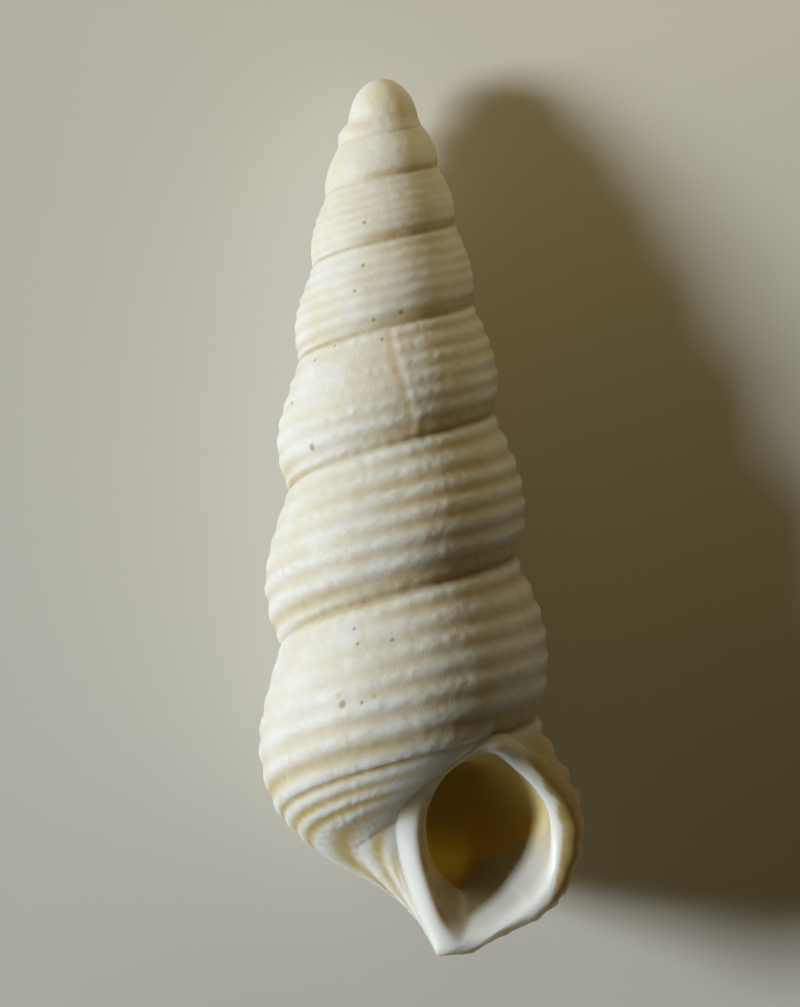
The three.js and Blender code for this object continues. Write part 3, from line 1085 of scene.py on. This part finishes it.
@dataclass(frozen=True)
class ChalkFinish:
    """Chalky ivory shell with buff grooves and a satin white lip, and painted shade in the hollow and on its
    lit lower wall.
    """

    ivory: Triple = (0.76, 0.71, 0.59)
    pale: Triple = (0.81, 0.80, 0.75)
    crest: Triple = (0.80, 0.82, 0.80)
    buff: Triple = (0.54, 0.40, 0.15)
    glaze: Triple = (0.86, 0.86, 0.82)
    # Painted shade: the warm colour that the wall takes where the hollow lies in shade.
    hollow: Triple = (0.92, 0.74, 0.28)
    # Painted shade: the grey laid on the lit lower wall.
    painted_shade: Triple = (0.48, 0.47, 0.44)
    blotch_per_m: float = 2600.0
    blotch_range: Pair = (0.35, 0.68)
    streaks: Triple = (90.0, 2.2, 1.0)
    streak_range: Pair = (0.5, 0.75)
    streak_strength: float = 0.3
    fleck_per_m: float = 13000.0
    fleck_range: Pair = (0.4, 0.6)
    crest_strength: float = 0.9
    granule_per_m: float = 24000.0
    granule_range: Pair = (0.66, 0.74)
    granule_strength: float = 0.6
    least_stain_and_shade: float = 0.55
    roughness: float = 0.55
    glaze_sheen: float = 0.22
    grain_per_m: float = 45000.0
    grain_roughness: float = 0.12
    scatter: float = 0.65
    scatter_radius: Triple = (1.0, 0.7, 0.3)
    scatter_mm: float = 0.2
    bump_mm: float = 0.004
    bump_strength: float = 0.8
    bump_lost: float = 0.85
    streak_bump: float = 0.8

    def make(self, marks: Marks, growth: Growth) -> Material:
        """Builds the material.

        Args:
            marks: The small marks to add.
            growth: The shell's spiral, which places them.

        Returns:
            The material.
        """
        nodes = Nodes("chalky_shell")
        place = nodes.add("TexCoord").outputs["Object"]
        growth_map = nodes.add("UVMap", uv_map="growth").outputs["UV"]
        grain = nodes.noise(place, self.grain_per_m, 4.0)
        stretch = nodes.add("Mapping", vector_type="POINT")
        nodes.put(stretch, "Vector", growth_map)
        nodes.put(stretch, "Scale", self.streaks)
        streak = nodes.noise(stretch.outputs["Vector"], 1.0, 4.0)
        glaze = nodes.attribute("glaze")

        colour = self.paint(nodes, place, streak, glaze)
        for kind in marks.kinds:
            for turn, row, radius in kind.places:
                inside = self.spot(nodes, growth_map, growth, marks, (turn, row, radius))
                colour = nodes.mix(nodes.times(inside, marks.strength), colour, kind.colour)

        shader = nodes.add("BsdfPrincipled")
        nodes.put(shader, "Base Color", colour)
        matt = nodes.maths("SUBTRACT", self.roughness, nodes.times(glaze, self.glaze_sheen))
        nodes.put(shader, "Roughness", nodes.maths("ADD", matt, nodes.times(grain, self.grain_roughness)))
        nodes.put(shader, "Subsurface Weight", self.scatter)
        nodes.put(shader, "Subsurface Radius", self.scatter_radius)
        nodes.put(shader, "Subsurface Scale", self.scatter_mm * MM)
        bump = nodes.add("Bump")
        nodes.put(bump, "Distance", self.bump_mm * MM)
        rough_ground = nodes.maths("SUBTRACT", 1.0, nodes.times(glaze, self.bump_lost))
        nodes.put(bump, "Strength", nodes.times(rough_ground, self.bump_strength))
        nodes.put(bump, "Height", nodes.maths("ADD", grain, nodes.times(streak, self.streak_bump)))
        nodes.put(shader, "Normal", bump.outputs["Normal"])
        return nodes.finish(shader)

    def paint(self, nodes: Nodes, place: NodeSocket, streak: NodeSocket, glaze: NodeSocket) -> NodeSocket:
        """Mixes the shell's colour, without its marks.

        Args:
            nodes: The material's nodes.
            place: The object's coordinates.
            streak: The noise of the growth streaks.
            glaze: How much glaze there is.

        Returns:
            The colour.
        """
        blotch = nodes.noise(place, self.blotch_per_m, 4.0)
        fleck = nodes.noise(place, self.fleck_per_m, 3.0)
        granule = nodes.ramp(nodes.noise(place, self.granule_per_m, 1.0), *self.granule_range)
        streaked = nodes.times(nodes.ramp(streak, *self.streak_range), self.streak_strength)
        crest = nodes.times(nodes.attribute("crest"), nodes.ramp(fleck, *self.fleck_range))
        uneven = nodes.maths("ADD", self.least_stain_and_shade, fleck)
        broken = nodes.times(nodes.attribute("stain_and_shade"), uneven, clamp=True)
        colour = nodes.mix(nodes.ramp(blotch, *self.blotch_range), self.ivory, self.pale)
        colour = nodes.mix(streaked, colour, self.pale)
        colour = nodes.mix(nodes.times(crest, self.crest_strength), colour, self.crest)
        colour = nodes.mix(nodes.times(granule, self.granule_strength), colour, self.crest)
        # Buff where there is real stain and where shade is painted.
        colour = nodes.mix(broken, colour, self.buff)
        colour = nodes.mix(glaze, colour, nodes.mix(broken, self.glaze, self.buff))
        # Painted shade: grey on the lit lower wall, then the warm hollow colour where the wall lies in
        # shade.
        colour = nodes.mix(nodes.attribute("painted_shade"), colour, self.painted_shade)
        return nodes.mix(nodes.attribute("hollow"), colour, self.hollow)

    def spot(
        self, nodes: Nodes, growth_map: NodeSocket, growth: Growth, marks: Marks, place: Triple
    ) -> NodeSocket:
        """How much one small mark covers a point.

        Args:
            nodes: The material's nodes.
            growth_map: The shell's own coordinates, turn and row.
            growth: The shell's spiral.
            marks: The marks that it is one of.
            place: The mark's turn, its row and its radius in millimetres.

        Returns:
            The share, from 0 to 1.
        """
        turn, row, radius = place
        round_mm = 2.0 * math.pi * growth.side(turn, min(row, 1.0)).x
        tall_mm = growth.seam(turn + 1.0).y - growth.seam(turn).y
        shift = nodes.add("Mapping", vector_type="TEXTURE")
        nodes.put(shift, "Vector", growth_map)
        nodes.put(shift, "Location", (turn, row, 0.0))
        nodes.put(shift, "Scale", (radius / round_mm, radius / tall_mm, 1.0))
        length = nodes.add("VectorMath", operation="LENGTH")
        nodes.put(length, 0, shift.outputs["Vector"])
        return nodes.maths("SUBTRACT", 1.0, nodes.ramp(length.outputs["Value"], *marks.softness))


@dataclass
class SnailShell:
    """The shell: one closed skin grown from a flat sheet, dressed in one finish."""

    growth: Growth = field(default_factory=Growth)
    relief: Relief = field(default_factory=lambda: Relief(Growth()))
    stains_and_shade: StainsAndShade = field(default_factory=lambda: StainsAndShade(Relief(Growth())))
    mouth: Mouth = field(default_factory=Mouth)
    tints: MouthTints = field(default_factory=lambda: MouthTints(Mouth()))
    resting: Resting = field(default_factory=Resting)
    finish: ChalkFinish = field(default_factory=ChalkFinish)
    marks: Marks = field(default_factory=Marks)
    columns_per_turn: int = 108
    side_rows: int = 30
    base_rows: int = 36
    fine_turn: float = 3.5
    weld: float = 1.0e-5
    near: float = 1.0e-4
    white_from: Pair = (0.15, 0.5)
    inward_power: float = 1.2
    layers: tuple[str, ...] = ("turn", "row", "stain_and_shade", "crest", "glaze", "hollow", "painted_shade")
    tip: Vector = field(init=False)
    foot: Vector = field(init=False)
    ring_layer: BMLayerItem = field(init=False)

    def build(self) -> Object:
        """Grows the shell, lays it down and dresses it.

        Returns:
            The finished piece.
        """
        bm = bmesh.new()
        for name in self.layers:
            bm.verts.layers.float.new(name)
        bm.verts.layers.int.new("ring")
        bm.loops.layers.uv.new("growth")
        self.lay_sheet(bm)
        self.roll_up(bm)
        self.raise_relief(bm)
        self.close_mouth(bm)
        self.lay_down(bm)
        mesh = bpy.data.meshes.new("turret_shell")
        bm.to_mesh(mesh)
        bm.free()
        mesh.shade_smooth()
        mesh.materials.append(self.finish.make(self.marks, self.growth))
        piece = bpy.data.objects.new("turret_shell", mesh)
        bpy.context.scene.collection.objects.link(piece)
        return piece

    def lay_sheet(self, bm: BMesh) -> None:
        """Makes the flat sheet, x for turns and y for rows, with finer cells on the last turns."""
        growth = self.growth
        turns = growth.last_turn - growth.first_turn
        self.add_grid(bm, growth.first_turn, turns, (0.0, 1.0), self.side_rows)
        self.add_grid(bm, growth.last_turn - 1.0, 1.0, (1.0, 2.0), self.base_rows)
        bmesh.ops.remove_doubles(bm, verts=bm.verts, dist=self.weld)
        fine = [edge for edge in bm.edges if self.is_fine(edge)]
        bmesh.ops.subdivide_edges(bm, edges=fine, cuts=1, use_grid_fill=True)
        ngons = [face for face in bm.faces if len(face.verts) > 4]
        bmesh.ops.triangulate(bm, faces=ngons)

    def add_grid(self, bm: BMesh, turn: float, turns: float, band: Pair, steps: int) -> None:
        """Adds a flat grid.

        Args:
            bm: The mesh to add it to.
            turn: The turn where it starts.
            turns: How many turns it covers.
            band: The row where it starts, and how many rows it covers.
            steps: How many cells it has along the rows.
        """
        row, rows = band
        columns = round(turns * self.columns_per_turn)
        place = Matrix.Translation((turn + turns / 2.0, row + rows / 2.0, 0.0))
        stretch = Matrix.Diagonal((turns / 2.0, rows / 2.0, 1.0, 1.0))
        bmesh.ops.create_grid(bm, x_segments=columns, y_segments=steps, size=1.0, matrix=place @ stretch)

    def is_fine(self, edge: BMEdge) -> bool:
        """Whether an edge of the sheet is halved, with the edges that it is later welded to."""
        start = self.fine_turn - self.near
        if all(vert.co.x > start for vert in edge.verts):
            return True
        return all(abs(vert.co.y - 1.0) < self.near and vert.co.x > start - 1.0 for vert in edge.verts)

    def roll_up(self, bm: BMesh) -> None:
        """Rolls the flat sheet up on the spiral and welds its seam, its tip and its pillar's end."""
        turn_of = bm.verts.layers.float["turn"]
        row_of = bm.verts.layers.float["row"]
        flat_map = bm.loops.layers.uv["growth"]
        for face in bm.faces:
            for loop in face.loops:
                loop[flat_map].uv = loop.vert.co.xy
        snap = 2.0 * self.columns_per_turn
        for vert in bm.verts:
            row = min(max(vert.co.y, 0.0), 3.0)
            row = float(round(row)) if abs(row - round(row)) < self.weld else row
            flat_turn = self.growth.first_turn + round((vert.co.x - self.growth.first_turn) * snap) / snap
            turn = self.growth.true_turn(flat_turn, row)
            vert[turn_of] = turn
            vert[row_of] = row
            vert.co = self.growth.surface(turn, row)
        bmesh.ops.remove_doubles(bm, verts=bm.verts, dist=self.weld)
        bm.normal_update()
        bmesh.ops.recalc_face_normals(bm, faces=bm.faces)

    def raise_relief(self, bm: BMesh) -> None:
        """Moves each point of the outside out or in by the relief, and notes its stain and painted shade."""
        turn_of, row_of, stain_and_shade_of, crest_of, glaze_of = (bm.verts.layers.float[n] for n in self.layers[:5])
        bm.normal_update()
        outward = 1.0 if self.faces_out(bm) else -1.0
        moves = []
        for vert in bm.verts:
            turn, row = vert[turn_of], vert[row_of]
            moves.append(vert.normal * outward * self.relief.height(turn, row, vert.co))
            vert[stain_and_shade_of] = self.stains_and_shade.amount(turn, row)
            vert[glaze_of] = max(self.relief.scar(turn, row), self.white_corner(vert, turn))
            wave = self.relief.cord_wave(turn, row)
            vert[crest_of] = wave**2 * self.relief.cord_strength(turn, row)
        near_lip = self.growth.last_turn - self.growth.drawn_turns
        for vert, move in zip(bm.verts, moves):
            vert.co += move
            if vert[glaze_of] > 0.0 and vert[turn_of] > near_lip:
                vert.co += self.mouth.knob(vert.co) * Vector(self.mouth.knob_rise)

    def white_corner(self, vert: BMVert, turn: float) -> float:
        """How white the outer lip's skin is beside the mouth's top corner, from 0 to 1."""
        if turn < self.growth.last_turn - self.growth.drawn_turns:
            return 0.0
        return smoothstep(*self.white_from, self.mouth.knob(vert.co))

    def faces_out(self, bm: BMesh) -> bool:
        """Whether the open skin's normals point away from the axis."""
        total = sum(vert.normal.x * vert.co.x + vert.normal.z * vert.co.z for vert in bm.verts)
        return total > 0.0

    def mouth_ring(self, bm: BMesh) -> tuple[list[BMVert], int]:
        """Walks the skin's open edge from the top corner down the lip, and up the pillar.

        Args:
            bm: The rolled-up skin.

        Returns:
            The edge's vertices in order, and the index of the pillar's end among them.
        """
        growth = self.growth
        turn_of = bm.verts.layers.float["turn"]
        corner = growth.surface(growth.last_turn, 0.0)
        end = Vector(growth.pillar_end)
        open_verts = [vert for vert in bm.verts if vert.is_boundary]
        start = min(open_verts, key=lambda vert: (vert.co - corner).length)
        foot = min(open_verts, key=lambda vert: (vert.co - end).length)
        ways = [edge.other_vert(start) for edge in start.link_edges if edge.is_boundary]
        ring = [start, max(ways, key=lambda vert: vert[turn_of])]
        while ring[-1] is not start:
            onward = [edge.other_vert(ring[-1]) for edge in ring[-1].link_edges if edge.is_boundary]
            ring.append(next(vert for vert in onward if vert is not ring[-2]))
        ring.pop()
        return ring, ring.index(foot)

    def close_mouth(self, bm: BMesh) -> None:
        """Extrudes the open edge over the rounded lip and back into the closed hollow."""
        mouth, tints, growth = self.mouth, self.tints, self.growth
        ring, foot = self.mouth_ring(bm)
        self.ring_layer = bm.verts.layers.int["ring"]
        for index, vert in enumerate(ring):
            vert[self.ring_layer] = index
        edge = [vert.co.copy() for vert in ring]
        turn_of, row_of = (bm.verts.layers.float[name] for name in ("turn", "row"))
        waves = [self.relief.cord_wave(vert[turn_of], vert[row_of]) for vert in ring]
        lip_places = shares_along(edge[: foot + 1])
        pillar_places = shares_along([edge[0], *reversed(edge[foot:])])
        sides = [True] * (foot + 1) + [False] * (len(ring) - foot - 1)
        places = lip_places + pillar_places[1:-1][::-1]
        spokes = [mouth.spoke(*each) for each in zip(sides, places, edge, waves)]
        open_edges = [e for e in bm.edges if e.is_boundary]
        soft = []

        for step in range(1, mouth.rim_rings + 1):
            share = step / mouth.rim_rings
            points = [mouth.rim(spoke, share) for spoke in spokes]
            shades = [tints.rim(spoke, share) for spoke in spokes]
            open_edges = self.extrude(bm, open_edges, points, shades)
            wanted = [share < mouth.soft_rim or mouth.soft(spoke) for spoke in spokes]
            soft += self.ring_verts(open_edges, wanted)
        for step in range(1, mouth.hollow_rings + 1):
            turns_in = mouth.hollow_turns * (step / (mouth.hollow_rings + 0.5)) ** self.inward_power
            points = [mouth.wall(growth, spoke, turns_in) for spoke in spokes]
            shades = [tints.wall(spoke, turns_in) for spoke in spokes]
            open_edges = self.extrude(bm, open_edges, points, shades)
            if step <= mouth.smooth_rings:
                soft += self.ring_verts(open_edges, [step > 2 or mouth.soft(spoke) for spoke in spokes])
        for _ in range(mouth.smooth_passes):
            bmesh.ops.smooth_vert(
                bm, verts=soft, factor=0.5, use_axis_x=True, use_axis_y=True, use_axis_z=True
            )
        last = list({vert for e in open_edges for vert in e.verts})
        bmesh.ops.pointmerge(bm, verts=last, merge_co=mouth.hollow(growth, mouth.hollow_turns, 0.0))
        bmesh.ops.recalc_face_normals(bm, faces=bm.faces)

    def ring_verts(self, edges: list[BMEdge], wanted: Sequence[bool]) -> list[BMVert]:
        """The vertices of an open edge whose numbers in the ring are wanted."""
        found = {vert for edge in edges for vert in edge.verts}
        return [vert for vert in found if wanted[vert[self.ring_layer]]]

    def extrude(
        self,
        bm: BMesh,
        edges: list[BMEdge],
        points: Sequence[Vector],
        tints: Sequence[dict[str, float]],
    ) -> list[BMEdge]:
        """Extrudes the open edge by one ring.

        Args:
            bm: The skin.
            edges: The open edge.
            points: The new place of each vertex, by its number in the ring.
            tints: The attributes of each.

        Returns:
            The new open edge.
        """
        made = bmesh.ops.extrude_edge_only(bm, edges=edges)["geom"]
        for vert in (item for item in made if isinstance(item, BMVert)):
            number = vert[self.ring_layer]
            vert.co = points[number]
            for name, value in tints[number].items():
                vert[bm.verts.layers.float[name]] = value
        return [item for item in made if isinstance(item, BMEdge) and item.is_boundary]

    def lay_down(self, bm: BMesh) -> None:
        """Lays the shell on its back where the frame's shell lies, and wears its flat spots."""
        low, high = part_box(NODE)
        bmesh.ops.transform(bm, matrix=self.resting.place(), verts=bm.verts)
        mine_low = Vector([min(vert.co[axis] for vert in bm.verts) for axis in range(3)])
        mine_high = Vector([max(vert.co[axis] for vert in bm.verts) for axis in range(3)])
        move = (Vector(low) + Vector(high) - mine_low - mine_high) / 2.0
        move.z = low[2] - mine_low.z - self.resting.flat_depth * MM
        bmesh.ops.translate(bm, vec=move, verts=bm.verts)
        for vert in bm.verts:
            vert.co.z = max(vert.co.z, low[2])
        self.tip = move
        self.foot = self.resting.place() @ Vector(self.growth.pillar_end) + move


@dataclass(frozen=True)
class TableFinish:
    """A plain pale matt table."""

    colour: Triple = (0.74, 0.71, 0.64)
    roughness: float = 0.8

    def make(self) -> Material:
        """Builds the material."""
        nodes = Nodes("pale_table")
        shader = nodes.add("BsdfPrincipled")
        nodes.put(shader, "Base Color", (*self.colour, 1.0))
        nodes.put(shader, "Roughness", self.roughness)
        return nodes.finish(shader)


@dataclass
class Table:
    """The plain floor under the shell, which isn't part of it."""

    half_width: float = 0.25
    finish: TableFinish = field(default_factory=TableFinish)

    def build(self) -> None:
        """Makes the floor."""
        bm = bmesh.new()
        bmesh.ops.create_grid(bm, x_segments=1, y_segments=1, size=self.half_width)
        mesh = bpy.data.meshes.new("table")
        bm.to_mesh(mesh)
        bm.free()
        mesh.materials.append(self.finish.make())
        floor = bpy.data.objects.new("table", mesh)
        bpy.context.scene.collection.objects.link(floor)


class LightRole(Enum):
    """What a studio light is for."""

    KEY = "key"
    FILL = "fill"


@dataclass(frozen=True)
class StudioLight:
    """One soft square lamp that looks at the shell."""

    role: LightRole
    direction: Triple
    distance: float
    width: float
    power: float
    colour: Triple

    def build(self, target: Vector) -> None:
        """Makes the lamp.

        Args:
            target: The point that it looks at.
        """
        lamp = bpy.data.lights.new(self.role.value, "AREA")
        lamp.energy = self.power
        lamp.size = self.width
        lamp.color = self.colour
        holder = bpy.data.objects.new(self.role.value, lamp)
        away = Vector(self.direction).normalized()
        holder.location = target + away * self.distance
        holder.rotation_euler = away.to_track_quat("Z", "Y").to_euler()
        bpy.context.scene.collection.objects.link(holder)


@dataclass(frozen=True)
class Studio:
    """Plain soft light: a key lamp from the upper left, a weak fill and a dim even surround."""

    lamps: tuple[StudioLight, ...] = (
        StudioLight(LightRole.KEY, (-0.86, 0.08, 0.47), 0.12, 0.03, 0.145, (0.9, 0.96, 1.0)),
        StudioLight(LightRole.FILL, (0.3, 0.86, 0.42), 0.0098, 0.005, 0.00014, (1.0, 0.8, 0.36)),
    )
    surround: Triple = (1.0, 0.82, 0.34)
    surround_strength: float = 0.037

    def build(self, target: Vector) -> None:
        """Makes the lamps and the surround.

        Args:
            target: The point that the lamps look at.
        """
        for lamp in self.lamps:
            lamp.build(target)
        world = bpy.data.worlds.new("surround")
        world.use_nodes = True
        background = world.node_tree.nodes["Background"]
        background.inputs["Color"].default_value = (*self.surround, 1.0)
        background.inputs["Strength"].default_value = self.surround_strength
        bpy.context.scene.world = world
        bpy.context.scene.view_settings.view_transform = "Standard"


@dataclass(frozen=True)
class PhotoCamera:
    """The camera that sees the shell as the photograph does, from above."""

    frame_px: Pair = (800.0, 1007.0)
    tip_px: Pair = (378.0, 79.0)
    foot_px: Pair = (437.0, 954.0)
    tilt_deg: float = 3.75
    lens_mm: float = 600.0
    sensor_mm: float = 36.0
    clip: Pair = (0.001, 10.0)

    def build(self, tip: Vector, foot: Vector) -> None:
        """Makes the camera.

        Args:
            tip: The shell's tip in the frame.
            foot: The pillar's end in the frame.
        """
        level = Matrix.Rotation(math.radians(-self.tilt_deg), 3, "X")
        seen = level.transposed() @ (tip - foot)
        wanted = Vector((self.tip_px[0] - self.foot_px[0], self.foot_px[1] - self.tip_px[1]))
        roll = math.atan2(seen.y, seen.x) - math.atan2(wanted.y, wanted.x)
        metres_per_px = seen.xy.length / wanted.length
        turn = level @ Matrix.Rotation(roll, 3, "Z")
        off_centre = Vector((
            self.frame_px[0] / 2.0 - self.tip_px[0],
            self.tip_px[1] - self.frame_px[1] / 2.0,
            0.0,
        ))
        centre = tip + turn @ (off_centre * metres_per_px)
        distance = self.frame_px[1] * metres_per_px * self.lens_mm / self.sensor_mm
        data = bpy.data.cameras.new("photo_camera")
        data.lens = self.lens_mm
        data.sensor_width = self.sensor_mm
        data.clip_start, data.clip_end = self.clip
        camera = bpy.data.objects.new("photo_camera", data)
        place = centre + turn @ Vector((0.0, 0.0, distance))
        camera.matrix_world = Matrix.Translation(place) @ turn.to_4x4()
        bpy.context.scene.collection.objects.link(camera)
        bpy.context.scene.camera = camera


def main() -> None:
    """Builds the shell and what it is seen with, in order."""
    logging.basicConfig(level=logging.INFO, format="%(message)s")
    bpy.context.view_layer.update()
    shell = SnailShell()
    piece = shell.build()
    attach(piece, "root")
    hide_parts(NODE)
    log.info("shell: %d vertices, %d faces", len(piece.data.vertices), len(piece.data.polygons))
    Table().build()
    log.info("table laid")
    Studio().build((shell.tip + shell.foot) / 2.0)
    log.info("lamps set")
    PhotoCamera().build(shell.tip, shell.foot)
    log.info("camera set")


if __name__ == "__main__":
    main()
